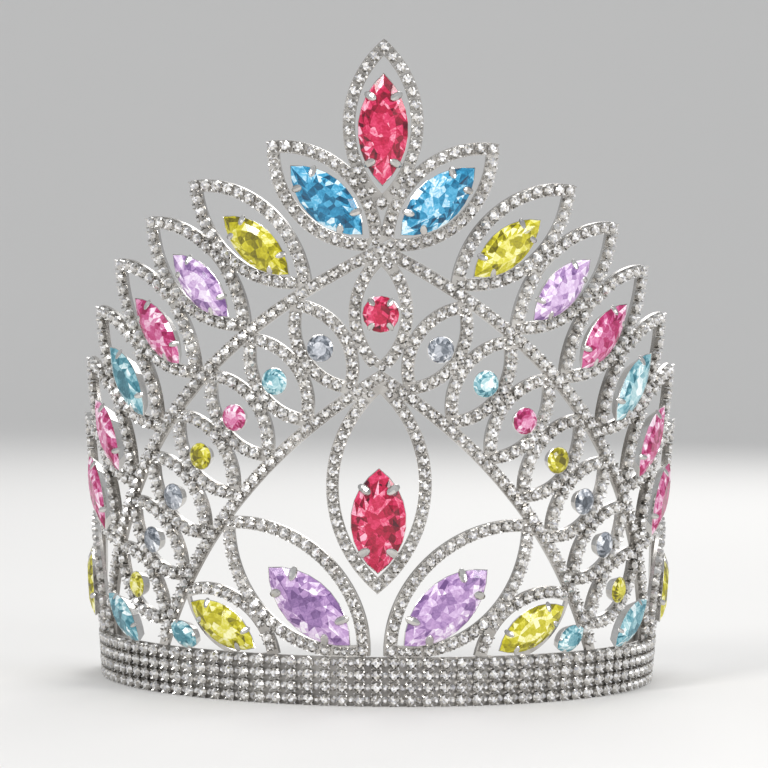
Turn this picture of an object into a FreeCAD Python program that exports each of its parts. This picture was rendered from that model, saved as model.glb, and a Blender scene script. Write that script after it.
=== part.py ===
"""Rhinestone pageant crown: a conical band of four rhinestone rows carries a filigree of pointed loops.

The maker lays the whole front out flat, as bent strips soldered edge to edge, and then rolls it to a cone.
This file does the same. Places are given on the flat layout, frame_at() carries them to the cone, and every
strip is cut out of one conical wall. Sizes are millimetres. +Z is up and the front faces -Y. The origin is on
the cone's axis, in the plane of the band's lower edge.
"""

import FreeCAD, Part
import Sketcher
import math
import os

from FreeCAD import Matrix, Placement, Rotation, Vector

doc = FreeCAD.newDocument("RhinestoneCrown")
sheet = doc.addObject("Spreadsheet::Sheet", "Dims")

# Each driving dimension once: its name, its value in millimetres or degrees, and what it is.
DIMENSIONS = [
    ("base_radius", 78.0, "cone radius at the band's lower edge, outer face of the strips"),
    ("flare_angle", 4.5, "half angle of the cone, the crown opens upwards"),
    ("strip_thick", 1.0, "radial thickness of every strip and of the band"),
    ("strip_width", 3.35, "width of a strip, one rhinestone wide"),
    ("band_height", 13.3, "height of the band, four rhinestones"),
    ("band_half_angle", 104.0, "the band runs this far round to each side"),
    ("band_rows", 4, "rows of rhinestones on the band"),
    ("column_pitch", 4.58, "spacing of the band's rhinestones along a row"),
    ("chaton_pitch", 3.45, "spacing of rhinestones along a strip"),
    ("chaton_size", 2.6, "side of a rhinestone"),
    ("chaton_height", 1.9, "height of a rhinestone over its strip"),
    ("fill_size", 1.8, "side of the small rhinestones that fill the joints between strips"),
    ("fill_height", 1.5, "height of those over their strip"),
    ("fill_step", 0.7, "spacing of the places along the strips where one of those is tried"),
    ("outer_apex", 122.4, "height of the outer arch's centre line at the front"),
    ("outer_foot_angle", 72.6, "where the outer arch stands on the band"),
    ("outer_bow", 15.5, "rise of the outer arch's side over its chord"),
    ("inner_apex", 88.6, "height of the inner arch's centre line at the front"),
    ("inner_foot_angle", 48.2, "where the inner arch stands on the band"),
    ("inner_bow", 7.6, "rise of the inner arch's side over its chord"),
    ("top_length", 45.4, "tip to tip length of the top loop"),
    ("top_width", 21.4, "width of the top loop"),
    ("top_base", 132.7, "height of the top loop's lower tip"),
    ("shoulder_length", 42.0, "tip to tip length of the loop pair beside the top loop"),
    ("shoulder_width", 20.4, "width of that pair"),
    ("shoulder_tilt", 47.9, "lean of that pair from upright"),
    ("crest_length", 45.2, "tip to tip length of the other crest loops"),
    ("crest_width", 20.4, "width of those loops"),
    ("crest_start", 21.5, "their first station along the outer arch, from its apex"),
    ("crest_pitch", 21.1, "spacing of their stations along the outer arch"),
    ("crest_tilt", 53.0, "lean of the first of these loops from upright"),
    ("crest_tilt_step", 2.6, "each next loop leans this much less"),
    ("gallery_width", 15.8, "width of a gallery loop, between the arches"),
    ("gallery_centre_width", 17.2, "width of the middle gallery loop"),
    ("gallery_foot", 8.5, "first gallery foot along the inner arch"),
    ("gallery_foot_pitch", 14.7, "spacing of the gallery feet along the inner arch"),
    ("gallery_head", 27.2, "first gallery head along the outer arch"),
    ("gallery_head_pitch", 16.3, "spacing of the gallery heads along the outer arch"),
    ("centre_width", 28.2, "width of the large middle loop"),
    ("centre_base", 30.4, "height of the large middle loop's lower tip"),
    ("lower_width", 26.4, "width of the two slanting loops on the band"),
    ("lower_foot_angle", 1.6, "where they stand on the band"),
    ("lower_station", 59.3, "where they meet the inner arch, from its apex"),
    ("side_width", 16.6, "width of the two small loops beside them"),
    ("side_thin_width", 1.2, "width of their plain lower side"),
    ("side_foot_angle", 19.6, "where these stand on the band"),
    ("side_station", 84.0, "where they meet the inner arch, from its apex"),
    ("loop_foot_lift", 0.3, "the tips of loops that stand on the band lie this far over it"),
    ("end_foot_angle", 75.6, "where the last crest loop stands on the band"),
    ("end_tilt", 42.0, "lean of that loop from upright"),
    ("top_gem_length", 29.4, "length of the top loop's stone"),
    ("top_gem_width", 13.8, "width of the top loop's stone"),
    ("shoulder_gem_length", 26.4, "length of the stones beside it"),
    ("shoulder_gem_width", 12.6, "width of the stones beside it"),
    ("crest_gem_length", 24.4, "length of the other crest stones"),
    ("crest_gem_width", 11.0, "width of the other crest stones"),
    ("centre_gem_length", 28.2, "length of the middle stone"),
    ("centre_gem_width", 15.4, "width of the middle stone"),
    ("lower_gem_length", 30.4, "length of the slanting loops' stones"),
    ("lower_gem_width", 14.8, "width of the slanting loops' stones"),
    ("side_gem_length", 23.2, "length of the stones in the small side loops"),
    ("side_gem_width", 10.8, "width of the stones in the small side loops"),
    ("foot_gem_length", 21.4, "length of the outer stones that stand on the band"),
    ("foot_gem_width", 8.8, "width of those stones"),
    ("foot_gem_tilt", 56.0, "lean of those stones from upright"),
    ("foot_gem_angle", 60.0, "place of the outer one of those stones"),
    ("bud_gem_length", 10.6, "length of the inner stones that stand on the band"),
    ("bud_gem_width", 7.0, "width of those stones"),
    ("bud_gem_tilt", 62.0, "lean of those stones from upright"),
    ("bud_gem_angle", 40.4, "place of those stones"),
    ("gem_girdle", 1.9, "height of a long stone's edge over the strips"),
    ("gem_crown", 1.9, "height of its faceted top over that edge"),
    ("gem_depth", 2.8, "depth of its faceted back under that edge"),
    ("gem_table", 0.52, "share of a stone's outline that its flat top takes"),
    ("round_size", 7.2, "diameter of a gallery stone"),
    ("round_centre_size", 9.7, "diameter of the middle gallery stone"),
    ("round_girdle", 1.6, "height of a round stone's edge over the strips"),
    ("round_crown", 1.3, "height of its faceted top over that edge"),
    ("round_depth", 2.5, "depth of its faceted back under that edge"),
    ("setting_wall", 0.3, "wall of the cup that holds a stone"),
    ("seat_gap", 0.05, "clearance between a cup and the strips it is soldered to"),
    ("stand_gap", 0.25, "clearance between a cup that stands on the band and the band"),
    ("claw_width", 1.0, "width of a claw"),
    ("claw_thick", 0.45, "thickness of a claw"),
    ("claw_reach", 1.1, "how far a claw reaches over the stone"),
    ("eye_bore", 3.0, "inside diameter of the hairpin eye at each end of the band"),
    ("eye_wall", 0.9, "wall of the eye"),
    ("bore_margin", 1.0, "the tool that bores the eye runs this far past both its ends"),
]
for row, (alias, value, words) in enumerate(DIMENSIONS, start=1):
    sheet.set(f"A{row}", words)
    sheet.set(f"B{row}", str(value))
    sheet.setAlias(f"B{row}", alias)
doc.recompute()


def size(alias):
    """The value of one driving dimension."""
    return float(getattr(sheet, alias))


FLARE = math.radians(size("flare_angle"))
FLAT_RADIUS = size("base_radius") / math.sin(FLARE)
CREST_LOOPS = 6
GALLERY_LOOPS = 7
SIDES = (("left", -1), ("right", 1))
REACH = 4.0  # a cutting prism runs this far past the wall's face
ARCH_SECTIONS = 12
GEM_SIDE_FACETS = 5
ROUND_FACETS = 8
TOUCH = 0.01  # claws stay this far off the stone
PACKING = 0.91  # rhinestones come no closer to each other than this share of their pitch
FILL_PACKING = 1.06  # small ones come no closer to each other than this share of their side
OVERHANG = 0.6  # the middle of a rhinestone on a strip lies this share of its side over the band, or more


# The flat layout: x to the right, y up, with the front of the band's lower edge at its origin

def flat(angle, height):
    """The place on the flat layout of a place on the cone, given by its angle from the front and its height."""
    lean = math.radians(angle) * math.sin(FLARE)
    out = FLAT_RADIUS + height / math.cos(FLARE)
    return Vector(out * math.sin(lean), out * math.cos(lean) - FLAT_RADIUS, 0)


def upright(place):
    """The direction on the flat layout that runs straight up the cone from a place."""
    return (place + Vector(0, FLAT_RADIUS, 0)).normalize()


def tilted(angle, side, place=Vector()):
    """The direction that leans this far to one side from upright at a place, by default the front."""
    turn = side * math.radians(angle)
    rise = upright(place)
    across = Vector(rise.y, -rise.x, 0)
    return rise * math.cos(turn) + across * math.sin(turn)


def frame_at(place, heading, lift=0.0):
    """Placement on the cone's outer face: local Z points out, and local Y along heading on the flat layout."""
    out = math.hypot(place.x, place.y + FLAT_RADIUS)
    lean = math.atan2(place.x, place.y + FLAT_RADIUS)
    angle = lean / math.sin(FLARE)
    height = (out - FLAT_RADIUS) * math.cos(FLARE)
    radius = size("base_radius") + height * math.tan(FLARE)
    across = Vector(math.cos(angle), math.sin(angle), 0)
    outward = Vector(math.sin(angle), -math.cos(angle), 0)
    normal = outward * math.cos(FLARE) - Vector(0, 0, math.sin(FLARE))
    upward = outward * math.sin(FLARE) + Vector(0, 0, math.cos(FLARE))
    origin = outward * radius + Vector(0, 0, height) + normal * lift
    turn = math.atan2(heading.x, heading.y) - lean
    along = upward * math.cos(turn) + across * math.sin(turn)
    side = along.cross(normal)
    return Placement(Matrix(
        side.x, along.x, normal.x, origin.x,
        side.y, along.y, normal.y, origin.y,
        side.z, along.z, normal.z, origin.z,
        0, 0, 0, 1))


class Arch:
    """One side of a pointed arch: a circular arc on the flat layout, from the apex down to the band."""

    def __init__(self, apex, foot_angle, bow, side):
        self.side = side
        self.apex = flat(0, apex)
        foot = flat(side * foot_angle, size("band_height"))
        chord = foot - self.apex
        outside = Vector(-chord.y, chord.x, 0).normalize() * side
        self.radius = (chord.Length ** 2 / 4 + bow ** 2) / (2 * bow)
        self.centre = (self.apex + foot) / 2 - outside * (self.radius - bow)
        self.length = 2 * self.radius * math.asin(chord.Length / (2 * self.radius))

    def at(self, distance, off=0.0):
        """The place this far along the arc from the apex, and this far off it on its outside."""
        start = self.apex - self.centre
        angle = math.atan2(start.y, start.x) - self.side * distance / self.radius
        return self.centre + Vector(math.cos(angle), math.sin(angle), 0) * (self.radius + off)

    def heading(self, distance):
        """The arc's direction there, away from the apex."""
        return (self.at(distance + 0.5) - self.at(distance - 0.5)).normalize()


OUTER = {side: Arch(size("outer_apex"), size("outer_foot_angle"), size("outer_bow"), side) for _, side in SIDES}
INNER = {side: Arch(size("inner_apex"), size("inner_foot_angle"), size("inner_bow"), side) for _, side in SIDES}

nodes = {}


def keep(name, piece):
    """Give a finished piece the name that its file has."""
    piece.Label = name
    nodes[name] = piece
    return piece


# The conical wall that every strip is cut out of

def cone(name, offset, low, high, sweep="360", turned=90.0):
    """A solid cone, or a sector of one, with its radius and heights as expressions on the sheet."""
    body = doc.addObject("Part::Cone", name)
    slope = "tan(Dims.flare_angle * 1 deg)"
    base = f"Dims.base_radius + ({offset}) / cos(Dims.flare_angle * 1 deg)"
    body.setExpression("Radius1", f"{base} + ({low}) * {slope}")
    body.setExpression("Radius2", f"{base} + ({high}) * {slope}")
    body.setExpression("Height", f"({high}) - ({low})")
    body.setExpression("Angle", sweep)
    body.Placement.Rotation = Rotation(Vector(0, 0, 1), turned)
    body.setExpression("Placement.Base.z", low)
    return body


def cut(name, base, tool):
    """One solid less another."""
    result = doc.addObject("Part::Cut", name)
    result.Base = base
    result.Tool = tool
    return result


def common(name, base, tool):
    """What two solids share."""
    result = doc.addObject("Part::Common", name)
    result.Base = base
    result.Tool = tool
    return result


def conical_wall(name, low, high, sweep="360", turned=90.0):
    """The conical wall between two heights, as thick as a strip."""
    outside = cone(name + "_outside", "0", low, high, sweep, turned)
    inside = cone(name + "_inside", "-Dims.strip_thick", f"{low} - 1", f"{high} + 1")
    return cut(name, outside, inside)


wall = conical_wall("strip_wall", "Dims.band_height", "Dims.top_base + Dims.top_length + 5")


# The band, its ends closed by eyes for hairpins

def pin_eye(name, side):
    """An upright tube as high as the band at one of its ends, and the bore through it."""
    angle = math.radians(side * size("band_half_angle"))
    middle = size("band_height") / 2
    out = size("base_radius") + middle * math.tan(FLARE) - size("strip_thick") / 2
    tubes = []
    for part, radius, low in (
            ("tube", "Dims.eye_bore / 2 + Dims.eye_wall", "0"),
            ("bore", "Dims.eye_bore / 2", "-Dims.bore_margin")):
        tube = doc.addObject("Part::Cylinder", f"{name}_{part}")
        tube.setExpression("Radius", radius)
        tube.setExpression("Height", f"Dims.band_height - 2 * ({low})")
        tube.Placement.Base = Vector(out * math.sin(angle), -out * math.cos(angle), 0)
        tube.setExpression("Placement.Base.z", low)
        tubes.append(tube)
    return tubes


band_strip = conical_wall(
    "band_strip", "0", "Dims.band_height", "2 * Dims.band_half_angle", -90.0 - size("band_half_angle"))
eyes = {word: pin_eye(f"{word}_eye", side) for word, side in SIDES}
band_with_eyes = doc.addObject("Part::MultiFuse", "band_with_eyes")
band_with_eyes.Shapes = [band_strip, eyes["left"][0], eyes["right"][0]]
left_bored = cut("left_bored", band_with_eyes, eyes["left"][1])
keep("base_band", cut("base_band", left_bored, eyes["right"][1]))


# The arches

def ribbon(name, arch, start, end):
    """A strip's blank along an arch: a band across the wall, one strip wide and deeper than the wall."""
    half = size("strip_width") / 2
    sections = []
    for step in range(ARCH_SECTIONS + 1):
        distance = start + (end - start) * step / ARCH_SECTIONS
        frame = frame_at(arch.at(distance), arch.heading(distance))
        outline = ((-half, -REACH), (half, -REACH), (half, REACH), (-half, REACH))
        corners = [frame.multVec(Vector(across, 0, lift)) for across, lift in outline]
        sections.append(Part.makePolygon(corners + corners[:1]))
    blank = doc.addObject("Part::Feature", name)
    blank.Shape = Part.makeLoft(sections, True)
    return blank


def half_space(name, side):
    """A box over one side of the mirror plane."""
    box = doc.addObject("Part::Box", name)
    box.setExpression("Length", "2 * Dims.base_radius")
    box.setExpression("Width", "4 * Dims.base_radius")
    box.setExpression("Height", "Dims.top_base + Dims.top_length")
    if side < 0:
        box.setExpression("Placement.Base.x", "-2 * Dims.base_radius")
    box.setExpression("Placement.Base.y", "-2 * Dims.base_radius")
    return box


halves = {side: half_space(f"{word}_half", side) for word, side in SIDES}
blanks = {}
for level, arches in (("inner", INNER), ("outer", OUTER)):
    for word, side in SIDES:
        name = f"{level}_arch_{word}"
        arch = arches[side]
        run_on = size("strip_width")
        blanks[name] = ribbon(name + "_blank", arch, -run_on, arch.length + run_on)
        strip = common(name + "_strip", blanks[name], wall)
        keep(name, common(name, strip, halves[side]))


# Strips bent to a pointed loop

class Loop:
    """A strip bent to a pointed loop, lying flat on the cone round its own middle."""

    def __init__(self, name, base, tip, width_alias, length=None, thin_alias="strip_width", thin_side=1):
        self.name = name
        self.heading = (tip - base).normalize()
        self.centre = (tip + base) / 2
        self.length = (tip - base).Length
        self.width = size(width_alias)
        self.placement = frame_at(self.centre, self.heading)
        self.radius = (self.length ** 2 + self.width ** 2) / (4 * self.width)
        self.offset = self.radius - self.width / 2
        self.strips = {thin_side: size(thin_alias), -thin_side: size("strip_width")}
        self.aliases = {thin_side: thin_alias, -thin_side: "strip_width"}
        self.blank = self.bend(length or f"{self.length}", width_alias)

    def bend(self, length, width_alias):
        """The loop's blank: its outline, two arcs outside and two concentric ones inside, drawn out to a prism."""
        sketch = doc.addObject("Sketcher::SketchObject", self.name + "_outline")
        inner = {side: self.radius - self.strips[side] for side in (1, -1)}
        shift = (inner[1] ** 2 - inner[-1] ** 2) / (4 * self.offset)
        for reach in ({1: self.radius, -1: self.radius}, inner):
            across = shift if reach is inner else 0.0
            rise = math.sqrt(reach[1] ** 2 - (across + self.offset) ** 2)
            for side in (1, -1):
                spread = math.atan2(rise, self.offset + side * across)
                start = -spread if side > 0 else math.pi - spread
                middle = Vector(-side * self.offset, 0, 0)
                circle = Part.Circle(middle, Vector(0, 0, 1), reach[side])
                sketch.addGeometry(Part.ArcOfCircle(circle, start, start + 2 * spread))

        def rule(*words):
            return sketch.addConstraint(Sketcher.Constraint(*words))

        rule("PointOnObject", 0, 3, -1)
        rule("PointOnObject", 0, 1, -2)
        rule("PointOnObject", 0, 2, -2)
        rule("Coincident", 1, 1, 0, 2)
        rule("Coincident", 1, 2, 0, 1)
        rule("Equal", 0, 1)
        rule("Coincident", 2, 3, 0, 3)
        rule("Coincident", 3, 3, 1, 3)
        rule("Coincident", 3, 1, 2, 2)
        rule("Coincident", 3, 2, 2, 1)
        outer_radius = f"(({length}) ^ 2 + Dims.{width_alias} ^ 2) / (4 * Dims.{width_alias})"
        sketch.setExpression(f"Constraints[{rule('DistanceY', 0, 1, 0, 2, self.length)}]", length)
        sketch.setExpression(f"Constraints[{rule('Radius', 0, self.radius)}]", outer_radius)
        for edge, side in ((2, 1), (3, -1)):
            bend = rule("Radius", edge, inner[side])
            sketch.setExpression(f"Constraints[{bend}]", f"{outer_radius} - Dims.{self.aliases[side]}")
        sketch.Placement = self.placement
        blank = doc.addObject("Part::Extrusion", self.name + "_blank")
        blank.Base = sketch
        blank.DirMode = "Custom"
        blank.Dir = self.placement.Rotation.multVec(Vector(0, 0, 1))
        blank.LengthFwd = 2 * REACH
        blank.Symmetric = True
        blank.Solid = True
        blank.FaceMakerClass = "Part::FaceMakerBullseye"
        return blank

    def place(self, across, along):
        """A place on the flat layout, from the loop's own middle and axis."""
        right = Vector(self.heading.y, -self.heading.x, 0)
        return self.centre + right * across + self.heading * along

    def seat(self, length, width):
        """How far a stone's cup slides down the loop before it touches both sides."""
        wall_thick = size("setting_wall")
        half_length = length / 2 + wall_thick
        half_width = width / 2 + wall_thick
        cup_radius = (half_length ** 2 + half_width ** 2) / (2 * half_width)
        inner = self.radius - (self.strips[1] + self.strips[-1]) / 2
        play = inner - cup_radius - size("seat_gap")
        spread = self.offset - (cup_radius - half_width)
        return math.sqrt(max(play ** 2 - spread ** 2, 0.0))

    def chain(self, pitch):
        """Places and headings for rhinestones along both sides, from the tip down."""
        for side in (1, -1):
            if self.strips[side] < size("strip_width"):
                continue
            reach = self.radius - size("strip_width") / 2
            spread = math.acos(self.offset / reach)
            count = round(2 * spread * reach / pitch)
            for step in range(count + 1):
                angle = spread - 2 * spread * step / count
                across = side * (reach * math.cos(angle) - self.offset)
                along = reach * math.sin(angle)
                near = Vector(self.heading.y, -self.heading.x, 0) * (side * math.sin(angle))
                yield self.place(across, along), near - self.heading * math.cos(angle)


def trim(piece, cutters):
    """A piece less the blanks of what was laid before it, so that the two meet face to face."""
    for number, cutter in enumerate(cutters, start=1):
        piece = cut(f"{piece.Name}_fit_{number}", piece, cutter)
    return piece


loops = {}


def lay_loop(loop, cutters, half=None):
    """Cut a loop out of the wall, keep it to its own half where it has one, and fit it to its neighbours."""
    loops[loop.name] = loop
    blanks[loop.name] = loop.blank
    piece = common(loop.name + "_strip", loop.blank, wall)
    if half is not None:
        piece = common(loop.name + "_half", piece, half)
    keep(loop.name, trim(piece, [blanks[name] for name in cutters]))


foot_height = size("band_height") + size("loop_foot_lift")
for word, side in SIDES:
    lay_loop(
        Loop(f"lower_loop_{word}", flat(side * size("lower_foot_angle"), foot_height),
             INNER[side].at(size("lower_station")), "lower_width"),
        [f"inner_arch_{word}"], halves[side])
lay_loop(
    Loop("centre_loop", flat(0, size("centre_base")), INNER[1].apex, "centre_width"),
    ["inner_arch_left", "inner_arch_right", "lower_loop_left", "lower_loop_right"])
for word, side in SIDES:
    lay_loop(
        Loop(f"side_loop_{word}", flat(side * size("side_foot_angle"), foot_height),
             INNER[side].at(size("side_station")), "side_width", thin_alias="side_thin_width", thin_side=side),
        [f"inner_arch_{word}", f"lower_loop_{word}"])

lay_loop(
    Loop("gallery_loop_0", INNER[1].apex, OUTER[1].apex, "gallery_centre_width"),
    ["inner_arch_left", "inner_arch_right", "outer_arch_left", "outer_arch_right"])
for word, side in SIDES:
    neighbour = "gallery_loop_0"
    for number in range(GALLERY_LOOPS):
        foot = INNER[side].at(size("gallery_foot") + number * size("gallery_foot_pitch"))
        head = OUTER[side].at(size("gallery_head") + number * size("gallery_head_pitch"))
        name = f"gallery_loop_{number + 1}_{word}"
        lay_loop(
            Loop(name, foot, head, "gallery_width"),
            [f"inner_arch_{word}", f"outer_arch_{word}", neighbour])
        neighbour = name

for word, side in SIDES:
    apex = OUTER[side].apex
    tip = apex + tilted(size("shoulder_tilt"), side) * size("shoulder_length")
    lay_loop(
        Loop(f"crest_loop_1_{word}", apex, tip, "shoulder_width", "Dims.shoulder_length"),
        ["outer_arch_left", "outer_arch_right"], halves[side])
lay_loop(
    Loop("crest_loop_0", flat(0, size("top_base")), flat(0, size("top_base")) + tilted(0, 1) * size("top_length"),
         "top_width", "Dims.top_length"),
    ["crest_loop_1_left", "crest_loop_1_right"])
for word, side in SIDES:
    neighbour = f"crest_loop_1_{word}"
    for number in range(CREST_LOOPS):
        foot = OUTER[side].at(size("crest_start") + number * size("crest_pitch"))
        lean = size("crest_tilt") - number * size("crest_tilt_step")
        name = f"crest_loop_{number + 2}_{word}"
        lay_loop(
            Loop(name, foot, foot + tilted(lean, side) * size("crest_length"), "crest_width", "Dims.crest_length"),
            [f"outer_arch_{word}", neighbour])
        neighbour = name
    foot = flat(side * size("end_foot_angle"), foot_height)
    lay_loop(
        Loop(f"crest_loop_{CREST_LOOPS + 2}_{word}", foot,
             foot + tilted(size("end_tilt"), side, foot) * size("crest_length"), "crest_width", "Dims.crest_length"),
        [f"outer_arch_{word}", neighbour])


# Faceted stones

def facet_solid(rings):
    """A solid with flat facets between rings of corners, where a ring of one corner is a point."""
    faces = []
    for lower, upper in zip(rings, rings[1:]):
        count = max(len(lower), len(upper))
        for here in range(count):
            after = (here + 1) % count
            corners = [lower[here], lower[after]] if len(lower) > 1 else [lower[0]]
            corners += [upper[after], upper[here]] if len(upper) > 1 else [upper[0]]
            faces.append(Part.Face(Part.makePolygon(corners + corners[:1])))
    for ring in (rings[0], rings[-1]):
        if len(ring) > 1:
            faces.append(Part.Face(Part.makePolygon(ring + ring[:1])))
    solid = Part.makeSolid(Part.makeShell(faces))
    if solid.Volume < 0:
        solid.reverse()
    return solid


def at_height(outline, height, share=1.0):
    """An outline lifted to a height and scaled about its middle."""
    return [Vector(corner.x * share, corner.y * share, height) for corner in outline]


def pointed_oval(length, width):
    """Corners of a long stone's outline: two arcs that meet in points."""
    radius = (length ** 2 + width ** 2) / (4 * width)
    offset = radius - width / 2
    spread = math.asin(length / (2 * radius))
    corners = []
    for side in (1, -1):
        for step in range(GEM_SIDE_FACETS):
            angle = spread - 2 * spread * step / GEM_SIDE_FACETS
            corners.append(Vector(side * (radius * math.cos(angle) - offset), side * radius * math.sin(angle), 0))
    return corners


def round_outline(diameter):
    """Corners of a round stone's outline, one of them across the loop that holds it."""
    turns = [2 * math.pi * step / ROUND_FACETS for step in range(ROUND_FACETS)]
    return [Vector(math.cos(turn), math.sin(turn), 0) * (diameter / 2) for turn in turns]


def gem(outline, girdle, crown, depth):
    """A stone: a flat table, a ring of facets down to its widest edge, and a pointed back."""
    back = [Vector(0, 0, girdle - depth)]
    table = at_height(outline, girdle + crown, size("gem_table"))
    return facet_solid([back, at_height(outline, girdle), table])


def claw(outline, edge, girdle, crown):
    """A claw that rises from the cup's wall on one edge of the outline and lies on the stone's facet."""
    start = outline[edge]
    end = outline[(edge + 1) % len(outline)]
    along = (end - start).normalize()
    outward = Vector(along.y, -along.x, 0)
    middle = (start + end) / 2
    if outward.dot(middle) < 0:
        outward = outward * -1
    facet_run = (1 - size("gem_table")) * outward.dot(middle)
    slope = crown / facet_run
    reach = min(size("claw_reach"), 0.8 * facet_run)
    thick = size("claw_thick")
    wall_thick = size("setting_wall")
    profile = [
        (0, girdle - thick), (wall_thick, girdle - thick), (wall_thick, girdle + thick),
        (-reach, girdle + slope * reach + thick), (-reach, girdle + slope * reach + TOUCH), (0, girdle + TOUCH)]
    half = along * (size("claw_width") / 2)
    corners = [middle - half + outward * out + Vector(0, 0, height) for out, height in profile]
    return Part.Face(Part.makePolygon(corners + corners[:1])).extrude(half * 2)


def cup(outline, girdle, crown, claw_edges):
    """The open cup round a stone's back, from the strips' inner face up to the stone's edge, with its claws."""
    inside = Part.Face(Part.makePolygon(outline + outline[:1]))
    rim = inside.makeOffset2D(size("setting_wall"), join=2).cut(inside)
    body = rim.extrude(Vector(0, 0, girdle + size("strip_thick")))
    body.translate(Vector(0, 0, -size("strip_thick")))
    if claw_edges:
        body = body.fuse([claw(outline, edge, girdle, crown) for edge in claw_edges])
    return body


LONG_CLAWS = (1, 3, 6, 8)
ROUND_CLAWS = (0, 2, 4, 6)


class StoneKind:
    """One size of stone with its cup, made once and set in many places."""

    def __init__(self, outline, level, claw_edges):
        girdle, crown, depth = (size(f"{level}_{part}") for part in ("girdle", "crown", "depth"))
        self.stone = gem(outline, girdle, crown, depth)
        self.cup = cup(outline, girdle, crown, claw_edges)


def long_kind(name):
    """A long stone's kind, from its two sizes on the sheet."""
    outline = pointed_oval(size(f"{name}_gem_length"), size(f"{name}_gem_width"))
    return StoneKind(outline, "gem", LONG_CLAWS)


LONG_KINDS = {name: long_kind(name) for name in ("top", "shoulder", "crest", "centre", "lower", "side", "foot", "bud")}
ROUND_KINDS = {
    "round": StoneKind(round_outline(size("round_size")), "round", ()),
    "round_centre": StoneKind(round_outline(size("round_centre_size")), "round", ROUND_CLAWS),
}
stones = {}
settings = []


def set_stone(kind, colour, placement):
    """Put a stone of one kind and its cup in their place."""
    for template, group in ((kind.stone, stones.setdefault(colour, [])), (kind.cup, settings)):
        copy = template.copy()
        copy.Placement = placement
        group.append(copy)


def set_in_loop(loop_name, kind_name, colour, centred=False):
    """Seat a long stone in a loop: it slides down until both sides hold it, or stays in the middle."""
    loop = loops[loop_name]
    drop = 0.0 if centred else loop.seat(size(f"{kind_name}_gem_length"), size(f"{kind_name}_gem_width"))
    across = (loop.strips[-1] - loop.strips[1]) / 2
    move = Placement(Vector(across, -drop, 0), Rotation())
    set_stone(LONG_KINDS[kind_name], colour + "_marquise_stones", loop.placement.multiply(move))


CREST_COLOURS = ("yellow", "lavender", "pink", "aqua", "pink", "pink", "yellow")
GALLERY_COLOURS = ("clear", "aqua", "pink", "yellow", "clear", "clear", "yellow")
set_in_loop("crest_loop_0", "top", "red")
set_in_loop("centre_loop", "centre", "red")
for word, side in SIDES:
    set_in_loop(f"crest_loop_1_{word}", "shoulder", "blue")
    set_in_loop(f"lower_loop_{word}", "lower", "lavender")
    set_in_loop(f"side_loop_{word}", "side", "yellow", centred=True)
    for number, colour in enumerate(CREST_COLOURS, start=2):
        set_in_loop(f"crest_loop_{number}_{word}", "crest", colour)


def set_in_gallery(loop_name, kind_name, colour, side):
    """Seat a round stone at the widest place of a gallery loop, against the strip on its lower side."""
    loop = loops[loop_name]
    reach = size(f"{kind_name}_size") / 2 + size("setting_wall") / math.cos(math.pi / ROUND_FACETS)
    room = loop.width / 2 - size("strip_width") - reach - size("seat_gap")
    move = Placement(Vector(side * room, 0, 0), Rotation())
    set_stone(ROUND_KINDS[kind_name], colour + "_round_stones", loop.placement.multiply(move))


set_in_gallery("gallery_loop_0", "round_centre", "red", 0)
for word, side in SIDES:
    for number, colour in enumerate(GALLERY_COLOURS, start=1):
        set_in_gallery(f"gallery_loop_{number}_{word}", "round", colour, side)


def stand_on_band(kind_name, side):
    """Placement of a long stone whose cup stands on the band's upper edge."""
    outline = pointed_oval(
        size(f"{kind_name}_gem_length") + 2 * size("setting_wall"),
        size(f"{kind_name}_gem_width") + 2 * size("setting_wall"))
    foot = flat(side * size(f"{kind_name}_gem_angle"), size("band_height"))
    rise = upright(foot)
    heading = tilted(size(f"{kind_name}_gem_tilt"), side, foot)
    right = Vector(heading.y, -heading.x, 0)
    below = min((right * corner.x + heading * corner.y).dot(rise) for corner in outline)
    return frame_at(foot + rise * (size("stand_gap") - below), heading)


for word, side in SIDES:
    for kind_name in ("foot", "bud"):
        set_stone(LONG_KINDS[kind_name], "aqua_marquise_stones", stand_on_band(kind_name, side))


def keep_group(name, shapes):
    """Keep like pieces as the separate solids of one node."""
    group = doc.addObject("Part::Feature", name + "_group")
    group.Shape = Part.makeCompound(shapes)
    keep(name, group)


for colour, shapes in stones.items():
    keep_group(colour, shapes)
keep_group("stone_settings", settings)


# Rhinestones

class ChatonKind:
    """One size of rhinestone: its solid, the room that it takes round its middle, and the pitch it is tried at."""

    def __init__(self, name, reach, pitch):
        half_side = size(f"{name}_size") / 2
        corners = ((-half_side, -half_side), (half_side, -half_side), (half_side, half_side), (-half_side, half_side))
        base = [Vector(across, along, 0) for across, along in corners]
        self.solid = facet_solid([base, [Vector(0, 0, size(f"{name}_height"))]])
        self.reach = reach
        self.pitch = pitch
        self.lowest = size("band_height") + OVERHANG * size(f"{name}_size")


CHATON = ChatonKind("chaton", PACKING * size("chaton_pitch") / 2, size("chaton_pitch"))
FILL = ChatonKind("fill", FILL_PACKING * size("fill_size") / 2, size("fill_step"))
taken = []
chatons = {}


def lay_chatons(name, kind, places, lowest):
    """Set rhinestones at places on the flat layout, where there is still room and none hangs over the band."""
    for place, heading in places:
        height = (math.hypot(place.x, place.y + FLAT_RADIUS) - FLAT_RADIUS) * math.cos(FLARE)
        if height < lowest or any((place - other).Length < kind.reach + reach for other, reach in taken):
            continue
        taken.append((place, kind.reach))
        chaton = kind.solid.copy()
        chaton.Placement = frame_at(place, heading)
        chatons.setdefault(name, []).append(chaton)


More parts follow.
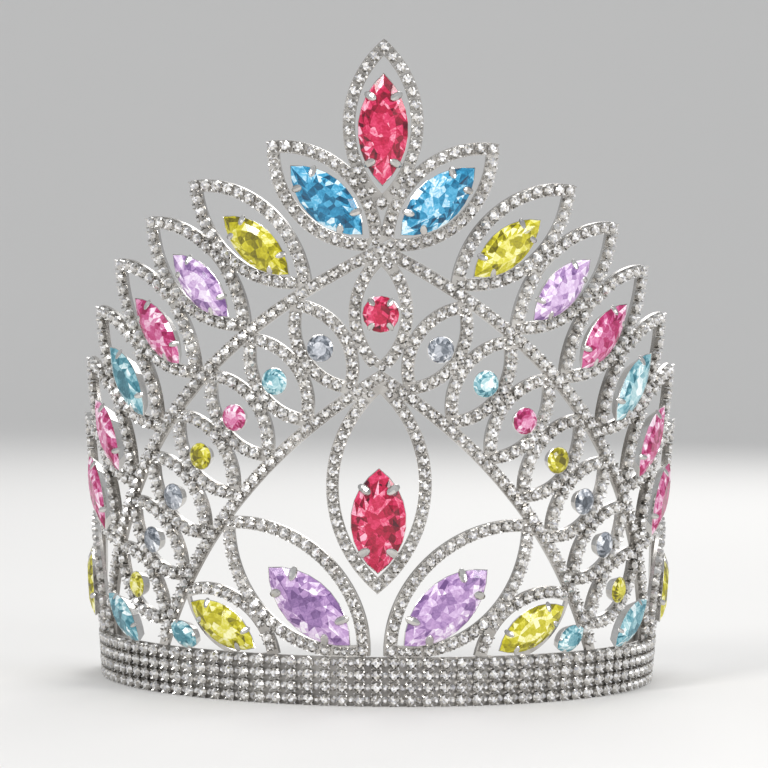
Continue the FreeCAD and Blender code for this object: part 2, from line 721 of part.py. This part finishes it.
def band_places():
    """Places for the band's rows, column by column."""
    step = math.degrees(size("column_pitch") / size("base_radius"))
    end_margin = math.degrees((size("eye_bore") / 2 + size("eye_wall") + size("chaton_size")) / size("base_radius"))
    columns = int((size("band_half_angle") - end_margin) / step)
    rows = int(size("band_rows"))
    for column in range(-columns, columns + 1):
        for row in range(rows):
            place = flat(column * step, (row + 0.5) * size("band_height") / rows)
            yield place, upright(place)


def arch_places(pitch):
    """Places along the four arch halves, from the apex down."""
    for arches in (OUTER, INNER):
        for arch in arches.values():
            count = round(arch.length / pitch)
            for step in range(count + 1):
                distance = arch.length * step / count
                yield arch.at(distance), arch.heading(distance)


def loop_places(starts, pitch):
    """Places along every loop whose name starts in one of these ways."""
    for start in starts:
        for name, loop in loops.items():
            if name.startswith(start):
                yield from loop.chain(pitch)


lay_chatons("band_rhinestones", CHATON, band_places(), 0.0)
for kind in (CHATON, FILL):
    lay_chatons("arch_rhinestones", kind, arch_places(kind.pitch), kind.lowest)
    for name, starts in (("centre", ("lower", "centre", "side")), ("gallery", ("gallery",)), ("crest", ("crest",))):
        lay_chatons(name + "_rhinestones", kind, loop_places(starts, kind.pitch), kind.lowest)
for name, shapes in chatons.items():
    keep_group(name, shapes)

doc.recompute()
for item in doc.Objects:
    if "Invalid" in item.State or "Error" in item.State:
        raise RuntimeError(f"{item.Name} failed: {item.State}")
os.makedirs("parts", exist_ok=True)
for name, piece in nodes.items():
    if piece.Shape.isNull() or not piece.Shape.isValid():
        raise RuntimeError(f"{name} has no valid shape")
    if not piece.Shape.Solids:
        raise RuntimeError(f"{name} has no solid")
    piece.Shape.exportStep(f"parts/{name}.step")
    print(name, "solids", len(piece.Shape.Solids), "volume", round(piece.Shape.Volume, 1))
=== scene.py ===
"""Looks for a rhinestone pageant crown: chain rhinestones, cut crystals, settings and plated metal."""

import math
import random

import bmesh
import bpy
from mathutils import Matrix, Vector


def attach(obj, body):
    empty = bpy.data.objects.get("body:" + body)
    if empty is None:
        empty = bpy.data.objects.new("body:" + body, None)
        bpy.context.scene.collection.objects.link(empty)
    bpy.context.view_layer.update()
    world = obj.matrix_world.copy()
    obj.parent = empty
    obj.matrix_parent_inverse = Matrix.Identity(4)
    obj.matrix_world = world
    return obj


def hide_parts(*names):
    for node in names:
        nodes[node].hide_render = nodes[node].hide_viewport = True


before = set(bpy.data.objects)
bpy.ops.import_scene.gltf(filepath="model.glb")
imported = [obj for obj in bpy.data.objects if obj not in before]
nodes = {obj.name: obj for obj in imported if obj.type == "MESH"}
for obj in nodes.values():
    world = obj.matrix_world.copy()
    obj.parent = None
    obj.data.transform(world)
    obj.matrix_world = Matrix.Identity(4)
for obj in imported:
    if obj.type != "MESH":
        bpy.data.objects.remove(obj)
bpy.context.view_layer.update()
random.seed(7)

MM = 0.001


# Node trees

def hex_linear(code):
    """A colour written as sRGB hex, in the linear values that sockets take, with its alpha."""
    channels = [int(code[start:start + 2], 16) / 255 for start in (0, 2, 4)]
    return [c / 12.92 if c <= 0.04045 else ((c + 0.055) / 1.055) ** 2.4 for c in channels] + [1.0]


def add_node(tree, kind, settings=None, inputs=None, stops=()):
    """One node: its settings, its inputs set or linked, and its ramp's places with their sRGB hex colours."""
    made = tree.nodes.new(kind)
    for name, value in (settings or {}).items():
        setattr(made, name, value)
    for name, value in (inputs or {}).items():
        if isinstance(value, bpy.types.NodeSocket):
            tree.links.new(value, made.inputs[name])
        else:
            made.inputs[name].default_value = value
    if stops:
        elements = made.color_ramp.elements
        for element, (place, code) in ((elements[0], stops[0]), (elements[-1], stops[-1])):
            element.position = place
            element.color = hex_linear(code)
        for place, code in stops[1:-1]:
            elements.new(place).color = hex_linear(code)
    return made


def new_material(name):
    """An empty material, and its tree."""
    material = bpy.data.materials.new(name)
    material.use_nodes = True
    material.node_tree.nodes.clear()
    return material, material.node_tree


# Rhodium-plated brass, tumbled bright: a clean silver with faint clouds where the plating is thinner.
# On the band it is painted darker, as painted shade, so that the gaps between its rows read darker than the
# stones.

CLOUD_MM = 9.0
GRAIN_MM = 0.8
GRAIN_DEPTH_MM = 0.05


def plated_metal(name, deep, bright, roughness):
    """Plated metal between two tones, in clouds of a real size, with the fine unevenness of tumbling."""
    material, tree = new_material(name)
    place = add_node(tree, "ShaderNodeTexCoord")
    clouds = add_node(tree, "ShaderNodeTexNoise", inputs={
        "Vector": place.outputs["Object"], "Scale": 1 / (CLOUD_MM * MM), "Detail": 4.0, "Roughness": 0.6})
    tones = add_node(
        tree, "ShaderNodeValToRGB", inputs={"Fac": clouds.outputs["Fac"]}, stops=[(0.3, deep), (0.7, bright)])
    grain = add_node(tree, "ShaderNodeTexNoise", inputs={
        "Vector": place.outputs["Object"], "Scale": 1 / (GRAIN_MM * MM), "Detail": 2.0})
    bump = add_node(tree, "ShaderNodeBump", inputs={
        "Strength": 0.08, "Distance": GRAIN_DEPTH_MM * MM, "Height": grain.outputs["Fac"]})
    shader = add_node(tree, "ShaderNodeBsdfPrincipled", inputs={
        "Base Color": tones.outputs["Color"], "Metallic": 1.0, "Roughness": roughness,
        "Normal": bump.outputs["Normal"]})
    add_node(tree, "ShaderNodeOutputMaterial", inputs={"Surface": shader.outputs["BSDF"]})
    return material


strip_plating = plated_metal("rhodium_plated_strip", "a19d98", "d8d5d1", 0.26)
# The band's plate is painted darker than the strips: painted shade for the gaps between its rows.
band_plating_with_painted_shade = plated_metal("rhodium_plate_with_painted_shade", "85827f", "aaa7a3", 0.38)
cup_plating = plated_metal("rhodium_plated_cup", "b4b1ad", "e0deda", 0.2)


# Lead crystal, cut and foil backed. Its colour holds painted light: each facet has its own tone, a painted
# reflection of the light it throws back, broken by painted reflections of the facets behind it.

FACET_TONE = "facet_tone"
LEAD_CRYSTAL_IOR = 1.56
CHATON_REFLECTION_MM = 0.6
STONE_REFLECTION_MM = 1.9


def foiled_crystal(name, reflection_mm, share, roughness, stops):
    """Crystal with a ramp from painted shade to painted highlight: each facet has its own tone, a painted
    reflection, mixed by a share with painted reflections of the given size in mm.
    """
    material, tree = new_material(name)
    place = add_node(tree, "ShaderNodeTexCoord")
    tone = add_node(tree, "ShaderNodeAttribute", {"attribute_name": FACET_TONE})
    mirror = add_node(tree, "ShaderNodeTexVoronoi", {"feature": "F1"}, {
        "Vector": place.outputs["Object"], "Scale": 1 / (reflection_mm * MM)})
    images = add_node(tree, "ShaderNodeSeparateColor", inputs={"Color": mirror.outputs["Color"]})
    streaks = add_node(tree, "ShaderNodeTexNoise", inputs={
        "Vector": place.outputs["Object"], "Scale": 1 / (reflection_mm * MM), "Detail": 3.0, "Distortion": 2.5})
    broken = add_node(tree, "ShaderNodeMix", inputs={
        "Factor": 0.5, "A": images.outputs["Red"], "B": streaks.outputs["Fac"]})
    mixed = add_node(tree, "ShaderNodeMix", inputs={
        "Factor": share, "A": tone.outputs["Fac"], "B": broken.outputs["Result"]})
    tones = add_node(tree, "ShaderNodeValToRGB", inputs={"Fac": mixed.outputs["Result"]}, stops=stops)
    shader = add_node(tree, "ShaderNodeBsdfPrincipled", inputs={
        "Base Color": tones.outputs["Color"], "Roughness": roughness, "IOR": LEAD_CRYSTAL_IOR})
    add_node(tree, "ShaderNodeOutputMaterial", inputs={"Surface": shader.outputs["BSDF"]})
    return material


# The chatons' clear crystal: its ramp is all painted shade and painted reflection, from dark grey up to a
# white painted highlight.
clear_crystal = foiled_crystal("foiled_clear_crystal", CHATON_REFLECTION_MM, 0.55, 0.08, [
    (0.14, "5a554f"), (0.28, "9b958b"), (0.4, "b4b5bd"), (0.52, "d6d1c7"), (0.66, "ebeaec"), (0.8, "ffffff")])
# Each stone's ramp: its own colour in the middle, painted shade at the dark end and painted highlights at the
# pale end.
TINTS = {
    "red": ("480018", "8a0528", "bc1543", "dc3d6a", "f8b9cd"),
    "blue": ("063a58", "0f6488", "2a8cb6", "5fb4d8", "e4f6fc"),
    "aqua": ("2a6573", "4f8d9b", "82b4bf", "b0d4d8", "f3fcfd"),
    "yellow": ("5c5502", "958c06", "bfb514", "dcd44a", "faf6c0"),
    "lavender": ("6b4a80", "9a76ac", "bf9bca", "dfc5e6", "fdf6fd"),
    "pink": ("7c0a3e", "ad2360", "c6578c", "de95b8", "fce8f2"),
    "clear": ("3a4048", "6a7078", "92979f", "bdc0c7", "fbfcff"),
}
TINT_STOPS = (0.22, 0.38, 0.5, 0.62, 0.76)
CRYSTALS = {
    colour: foiled_crystal(
        f"foiled_{colour}_cut_crystal", STONE_REFLECTION_MM, 0.62, 0.14, list(zip(TINT_STOPS, tints)))
    for colour, tints in TINTS.items()}


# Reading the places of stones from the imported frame

PYRAMID_SIDE = 2.6 * MM
MERGE_DISTANCE = 0.002 * MM
SORT_DIGITS = 5


def rounded(place):
    """A place as numbers that can be sorted, without the last digits, which may differ between two packs."""
    return [round(value, SORT_DIGITS) for value in place]


def islands(node):
    """The separate solids of a node, each as its corners, from a merged copy of its mesh.

    They are sorted by their places, and so are the corners, so that each stone gets the same tones in
    every run.
    """
    bm = bmesh.new()
    bm.from_mesh(nodes[node].data)
    bmesh.ops.remove_doubles(bm, verts=bm.verts, dist=MERGE_DISTANCE)
    left = set(bm.verts)
    found = []
    while left:
        reached = [left.pop()]
        for vert in reached:
            for edge in vert.link_edges:
                other = edge.other_vert(vert)
                if other in left:
                    left.discard(other)
                    reached.append(other)
        corners = [vert.co.copy() for vert in reached]
        found.append(sorted(corners, key=rounded))
    bm.free()
    return sorted(found, key=lambda corners: rounded(sum(corners, Vector()) / len(corners)))


def frame_matrix(origin, along, normal):
    """The matrix that puts a piece made at the origin in its place, with Y along and Z out."""
    normal = normal.normalized()
    along = (along - normal * along.dot(normal)).normalized()
    across = along.cross(normal)
    turn = Matrix((across, along, normal)).transposed().to_4x4()
    return Matrix.Translation(origin) @ turn


def pyramid_frame(corners):
    """A rhinestone's place and size: the middle of its base, Y up along a side, and Z out to its point."""
    def spread(corner):
        """How much a corner's distances to the others differ, which is least at the point."""
        reach = [(corner - other).length for other in corners if other is not corner]
        return max(reach) - min(reach)

    point = min(corners, key=spread)
    base = [corner for corner in corners if corner is not point]
    middle = sum(base, Vector()) / len(base)
    sides = sorted((base[0] - other for other in base[1:]), key=lambda edge: edge.length)[:2]
    upright = max(sides, key=lambda edge: abs(edge.z))
    if upright.z < 0:
        upright = -upright
    place = frame_matrix(middle, upright, point - middle)
    return place @ Matrix.Scale(upright.length / PYRAMID_SIDE, 4)


def stone_frame(corners):
    """A cut stone's place, with its long axis along Y and its table outwards, and its length and width."""
    pairs = [(one, other) for one in corners for other in corners]
    start, end = max(pairs, key=lambda pair: (pair[0] - pair[1]).length)
    middle = (start + end) / 2
    culet = min(corners, key=lambda corner: math.hypot(corner.x, corner.y))
    place = frame_matrix(middle, end - start, middle - culet)
    across = place.to_3x3().col[0]
    width = 2 * max(abs((corner - middle).dot(across)) for corner in corners)
    return place, (end - start).length, width


# Making pieces

def add_piece(name, bm, materials, replaced):
    """Turn a mesh into a piece of the crown that stands for a node of the frame."""
    mesh = bpy.data.meshes.new(name)
    bm.to_mesh(mesh)
    bm.free()
    for material in materials:
        mesh.materials.append(material)
    piece = bpy.data.objects.new(name, mesh)
    bpy.context.scene.collection.objects.link(piece)
    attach(piece, "root")
    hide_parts(replaced)


def tone_facets(bm, material_index):
    """Give each facet of one material a tone of its own, which the crystal's ramp turns into a painted
    reflection.
    """
    layer = bm.faces.layers.float.new(FACET_TONE)
    for face in bm.faces:
        if face.material_index == material_index:
            face[layer] = random.uniform(0.0, 1.0)


def drawn_verts(drawn):
    """The vertices that an extrusion made."""
    return [item for item in drawn["geom"] if isinstance(item, bmesh.types.BMVert)]


def order_facets(bm):
    """Number the facets by their places, because an extrusion leaves them in another order in each run."""
    facets = sorted(bm.faces, key=lambda facet: rounded(facet.calc_center_median()))
    for index, facet in enumerate(facets):
        facet.index = index
    bm.faces.sort()


def faces_since(bm, count):
    """The faces that were added after there were this many."""
    return list(bm.faces)[count:]


# Chain rhinestones: a round cup with four prongs over a cut crystal, whose material follows the cup's.

CRYSTAL = 1
CUP_RADIUS = 1.66 * MM
CUP_LIP = 0.95 * CUP_RADIUS
CUP_HEIGHT = 0.95 * MM
CHATON_RADIUS = 1.5 * MM
CHATON_TABLE = 0.8 * MM
CHATON_RISE = 0.8 * MM
TABLE_DOME = 0.1 * MM
PRONG_OUT = 1.15 * MM
PRONG_UP = CUP_HEIGHT + 0.3 * MM
PRONG_FOOT = 0.42 * MM
PRONG_TIP = 0.2 * MM
PRONG_LENGTH = 0.9 * MM
PRONG_LEAN = math.radians(-35)
LINK_OUT = 2.3 * MM
LINK_UP = 0.6 * CUP_HEIGHT
LINK_RADIUS = 1.05 * MM
LINK_TIP = 0.4 * LINK_RADIUS


def chaton_mesh(linked):
    """One rhinestone in its cup, at the origin, with the small bead beside it where rows are linked."""
    bm = bmesh.new()
    bmesh.ops.create_cone(
        bm, cap_ends=True, segments=8, radius1=CUP_RADIUS, radius2=CUP_LIP, depth=CUP_HEIGHT,
        matrix=Matrix.Translation((0, 0, CUP_HEIGHT / 2)))
    bottom = [face for face in bm.faces if face.normal.z < -0.9]
    bmesh.ops.delete(bm, geom=bottom, context="FACES_ONLY")
    for x, y in ((1, 1), (-1, 1), (-1, -1), (1, -1)):
        lean = Matrix.Rotation(PRONG_LEAN, 4, Vector((y, -x, 0)))
        bmesh.ops.create_cone(
            bm, cap_ends=True, segments=4, radius1=PRONG_FOOT, radius2=PRONG_TIP, depth=PRONG_LENGTH,
            matrix=Matrix.Translation((x * PRONG_OUT, y * PRONG_OUT, PRONG_UP)) @ lean)
    metal_count = len(bm.faces)
    crown = bmesh.ops.create_cone(
        bm, cap_ends=False, segments=8, radius1=CHATON_RADIUS, radius2=CHATON_TABLE, depth=CHATON_RISE,
        matrix=Matrix.Translation((0, 0, CUP_HEIGHT + CHATON_RISE / 2)))
    table_level = CUP_HEIGHT + 0.9 * CHATON_RISE
    table_verts = [vert for vert in crown["verts"] if vert.co.z > table_level]
    table_edges = [edge for edge in bm.edges if all(end in table_verts for end in edge.verts)]
    table = bmesh.ops.contextual_create(bm, geom=table_edges)["faces"]
    sides = [face for face in faces_since(bm, metal_count) if face not in table]
    bmesh.ops.triangulate(bm, faces=sides)
    bmesh.ops.poke(bm, faces=table, offset=TABLE_DOME)
    if linked:
        bmesh.ops.create_cone(
            bm, cap_ends=True, segments=6, radius1=LINK_RADIUS, radius2=LINK_TIP, depth=CUP_HEIGHT,
            matrix=Matrix.Translation((LINK_OUT, 0, LINK_UP)))
    for face in faces_since(bm, metal_count):
        face.material_index = CRYSTAL
    mesh = bpy.data.meshes.new("chaton_pattern")
    bm.to_mesh(mesh)
    bm.free()
    return mesh


def set_chatons(node):
    """Rhinestones in the places of a node's pyramids, as one piece."""
    pattern = chaton_mesh(linked=node.startswith("band"))
    bm = bmesh.new()
    for corners in islands(node):
        one = pattern.copy()
        one.transform(pyramid_frame(corners))
        bm.from_mesh(one)
        bpy.data.meshes.remove(one)
    bpy.data.meshes.remove(pattern)
    tone_facets(bm, CRYSTAL)
    add_piece(node + "_in_cups", bm, [cup_plating, clear_crystal], node)


for node in nodes:
    if node.endswith("rhinestones"):
        set_chatons(node)


# Cut stones

ARC_STEPS = 9
ROUND_STEPS = 16


def side_arc(length, width):
    """The radius of the arc on each side of a stone, and how far its middle lies past the stone's axis."""
    half_length = length / 2
    half_width = width / 2
    radius = (half_length ** 2 + half_width ** 2) / (2 * half_width)
    return radius, radius - half_width


def outline_edges(bm, length, width, grow=0.0):
    """A closed pointed outline: two arcs drawn by spinning a point round each arc's middle."""
    radius, offset = side_arc(length, width)
    radius += grow
    tip = math.sqrt(radius ** 2 - offset ** 2)
    spread = math.asin(tip / radius)
    for side in (1, -1):
        start = bm.verts.new((0, side * tip, 0))
        bmesh.ops.spin(
            bm, geom=[start], cent=(-side * offset, 0, 0), axis=(0, 0, 1), angle=-2 * spread, steps=ARC_STEPS)
    bmesh.ops.remove_doubles(bm, verts=bm.verts, dist=0.01 * MM)
    return list(bm.edges)


def round_edges(bm, diameter, grow=0.0):
    """A closed round outline."""
    bmesh.ops.create_circle(bm, segments=ROUND_STEPS, radius=diameter / 2 + grow)
    return list(bm.edges)


def raise_ring(bm, face, rise, share):
    """Draw a face up out of itself and shrink it about its middle. It returns the face at the top."""
    raised = bmesh.ops.extrude_face_region(bm, geom=[face])
    bmesh.ops.delete(bm, geom=[face], context="FACES_ONLY")
    verts = drawn_verts(raised)
    bmesh.ops.translate(bm, vec=(0, 0, rise), verts=verts)
    bmesh.ops.scale(bm, vec=(share, share, 1), verts=verts)
    return next(item for item in raised["geom"] if isinstance(item, bmesh.types.BMFace))


STONE, FOIL = 0, 1
GIRDLE = 0.25 * MM
CULET_SHARE = 0.12
LOWER_ROW = (0.55, 0.8)
UPPER_ROW = (0.45, 0.66)


def cut_stone(length, width, is_round, crown, depth):
    """A stone on its girdle plane: a foiled back, a thin girdle, two rows of crown facets and a table.

    Each row has its share of the crown's height and the share of the outline that is left above it.
    """
    bm = bmesh.new()
    edges = round_edges(bm, length) if is_round else outline_edges(bm, length, width)
    made = bmesh.ops.contextual_create(bm, geom=edges)
    raise_ring(bm, made["faces"][0], -depth, CULET_SHARE)
    for back in bm.faces:
        back.material_index = FOIL
    rim = [edge for edge in bm.edges if edge.is_boundary]
    face = bmesh.ops.contextual_create(bm, geom=rim)["faces"][0]
    face.material_index = STONE
    face = raise_ring(bm, face, GIRDLE, 1.0)
    for height, share in (LOWER_ROW, UPPER_ROW):
        face = raise_ring(bm, face, height * (crown - GIRDLE), share)
    rows = [item for item in bm.faces if item is not face and item.material_index != FOIL]
    bmesh.ops.triangulate(bm, faces=rows, quad_method="ALTERNATE")
    bmesh.ops.recalc_face_normals(bm, faces=bm.faces)
    order_facets(bm)
    return bm


def append_in_place(bm, part, place):
    """Add a finished part to a piece, in its place."""
    mesh = bpy.data.meshes.new("part")
    part.to_mesh(mesh)
    part.free()
    mesh.transform(place)
    bm.from_mesh(mesh)
    bpy.data.meshes.remove(mesh)


LONG_CROWN = 1.8 * MM
LONG_DEPTH = 2.7 * MM
ROUND_CROWN = 1.3 * MM
ROUND_DEPTH = 2.4 * MM

seats = []
for node in sorted(nodes):
    if not node.endswith(("marquise_stones", "round_stones")):
        continue
    is_round = node.endswith("round_stones")
    crown, depth = (ROUND_CROWN, ROUND_DEPTH) if is_round else (LONG_CROWN, LONG_DEPTH)
    piece = bmesh.new()
    for corners in islands(node):
        place, length, width = stone_frame(corners)
        seats.append((place, length, width, is_round))
        append_in_place(piece, cut_stone(length, width, is_round, crown, depth), place)
    tone_facets(piece, STONE)
    colour = node.split("_")[0]
    add_piece(node + "_cut", piece, [CRYSTALS[colour], cup_plating], node)


# Settings: a thin wall round each stone's back, and four claws over its edge. The claws' measures are
# shares of the stone's width, and their places are shares of the arc from its waist to its tip.

WALL = 0.3 * MM
WALL_LIP = 0.1 * MM
SETTING_TAPER = 0.74
CLAWLESS_DIAMETER = 8 * MM
CLAW_PLACES = (0.58, -0.58)
CLAW_SLOPE = math.radians(28)
CLAW_REACH = 0.08
CLAW_THICKNESS = 0.045
CLAW_BREADTH = 0.085
CLAW_LENGTH = 0.15


def setting(length, width, is_round):
    """A stone's setting on its girdle plane. Small round stones have no claws."""
    bm = bmesh.new()
    depth = ROUND_DEPTH if is_round else LONG_DEPTH
    edges = round_edges(bm, length, WALL / 2) if is_round else outline_edges(bm, length, width, WALL / 2)
    verts = drawn_verts(bmesh.ops.extrude_edge_only(bm, edges=edges))
    bmesh.ops.translate(bm, vec=(0, 0, -depth), verts=verts)
    bmesh.ops.scale(bm, vec=(SETTING_TAPER, SETTING_TAPER, 1), verts=verts)
    bmesh.ops.translate(bm, vec=(0, 0, WALL_LIP), verts=bm.verts)
    bmesh.ops.recalc_face_normals(bm, faces=bm.faces)
    bmesh.ops.solidify(bm, geom=list(bm.faces), thickness=WALL)
    if is_round and length < CLAWLESS_DIAMETER:
        return bm
    radius, offset = side_arc(length, width)
    spread = math.asin(length / 2 / radius)
    claw = Matrix.Diagonal((CLAW_THICKNESS * width, CLAW_BREADTH * width, CLAW_LENGTH * width, 1))
    for side in (1, -1):
        for share in CLAW_PLACES:
            angle = spread * share
            inward = Vector((-side * math.cos(angle), -math.sin(angle), 0))
            rise = inward * math.cos(CLAW_SLOPE) + Vector((0, 0, math.sin(CLAW_SLOPE)))
            foot = Vector((side * (radius * math.cos(angle) - offset), radius * math.sin(angle), GIRDLE))
            place = frame_matrix(foot + rise * (CLAW_REACH * width), inward.cross(rise), rise)
            bmesh.ops.create_uvsphere(bm, u_segments=8, v_segments=6, radius=1.0, matrix=place @ claw)
    return bm


settings = bmesh.new()
for place, length, width, is_round in seats:
    append_in_place(settings, setting(length, width, is_round), place)
add_piece("crystal_settings", settings, [cup_plating], "stone_settings")


# Plated strips

for name, node in nodes.items():
    if name.endswith(("stones", "settings")):
        continue
    node.data.materials.clear()
    # The base band gets the darker plate, painted shade for the gaps between its rows.
    node.data.materials.append(band_plating_with_painted_shade if name == "base_band" else strip_plating)


# Studio: a pale floor that runs up into a wall, soft lamps, and the camera where the photographer stood.
# Its measures and the lamps' are metres and watts.

SWEEP_REACH = 3.0
SWEEP_CURVE = 1.4


def pale_sweep():
    """A floor and a wall joined by a wide curve."""
    bm = bmesh.new()
    bmesh.ops.create_grid(bm, x_segments=1, y_segments=1, size=SWEEP_REACH)
    far = [edge for edge in bm.edges if all(vert.co.y > 0 for vert in edge.verts)]
    raised = bmesh.ops.extrude_edge_only(bm, edges=far)
    bmesh.ops.translate(bm, vec=(0, 0, SWEEP_REACH), verts=drawn_verts(raised))
    fold = [edge for edge in bm.edges if all(vert.co.y > 0 and vert.co.z == 0 for vert in edge.verts)]
    bmesh.ops.bevel(
        bm, geom=fold, offset=SWEEP_CURVE, offset_type="OFFSET", segments=16, profile=0.5, affect="EDGES",
        material=-1)
    for face in bm.faces:
        face.smooth = True
    mesh = bpy.data.meshes.new("pale_sweep")
    bm.to_mesh(mesh)
    bm.free()
    sweep = bpy.data.objects.new("pale_sweep", mesh)
    bpy.context.scene.collection.objects.link(sweep)
    material, tree = new_material("matt_paper_backdrop")
    shader = add_node(tree, "ShaderNodeBsdfPrincipled", inputs={
        "Base Color": hex_linear("e4e2df"), "Roughness": 0.9})
    add_node(tree, "ShaderNodeOutputMaterial", inputs={"Surface": shader.outputs["BSDF"]})
    mesh.materials.append(material)


pale_sweep()


def soft_lamp(name, place, aim, width, power):
    """A square soft lamp that points at a place."""
    light = bpy.data.lights.new(name, "AREA")
    light.size = width
    light.energy = power
    lamp = bpy.data.objects.new(name, light)
    lamp.location = place
    lamp.rotation_euler = (Vector(aim) - Vector(place)).to_track_quat("-Z", "Y").to_euler()
    bpy.context.scene.collection.objects.link(lamp)


HEART = (0.0, -0.05, 0.09)
soft_lamp("key_lamp", (-0.7, -1.1, 0.9), HEART, 0.3, 8.5)
soft_lamp("fill_lamp", (0.9, -0.9, 0.5), HEART, 0.4, 5.5)
soft_lamp("top_lamp", (0.1, -0.1, 1.3), HEART, 0.5, 3)
soft_lamp("back_lamp", (0.3, 1.0, 0.8), HEART, 0.6, 5)

world = bpy.data.worlds.new("soft_room")
world.use_nodes = True
backdrop = world.node_tree.nodes["Background"]
backdrop.inputs["Color"].default_value = hex_linear("dfe2e6")
backdrop.inputs["Strength"].default_value = 0.78
bpy.context.scene.world = world
bpy.context.scene.view_settings.view_transform = "Standard"

# The camera's place, worked out in the picture's pixels, where one pixel at the crown's axis is 0.29 mm.

PICTURE = 768
PIXEL = 0.29 * MM
FOCAL_PIXELS = 3500
HORIZON_ROW = 284
CAMERA_HEIGHT_PIXELS = 391
LEAN_DEGREES = 0.68
SIDE_STEP_PIXELS = 3.6
SENSOR_WIDTH = 36.0

camera_data = bpy.data.cameras.new("camera")
camera_data.sensor_width = SENSOR_WIDTH
camera_data.lens = SENSOR_WIDTH * FOCAL_PIXELS / PICTURE
camera = bpy.data.objects.new("camera", camera_data)
camera.location = (SIDE_STEP_PIXELS * PIXEL, -FOCAL_PIXELS * PIXEL, CAMERA_HEIGHT_PIXELS * PIXEL)
pitch = math.atan((PICTURE / 2 - HORIZON_ROW) / FOCAL_PIXELS)
turn = Matrix.Rotation(math.pi / 2 - pitch, 4, "X") @ Matrix.Rotation(math.radians(LEAN_DEGREES), 4, "Z")
camera.rotation_euler = turn.to_euler()
bpy.context.scene.collection.objects.link(camera)
bpy.context.scene.camera = camera
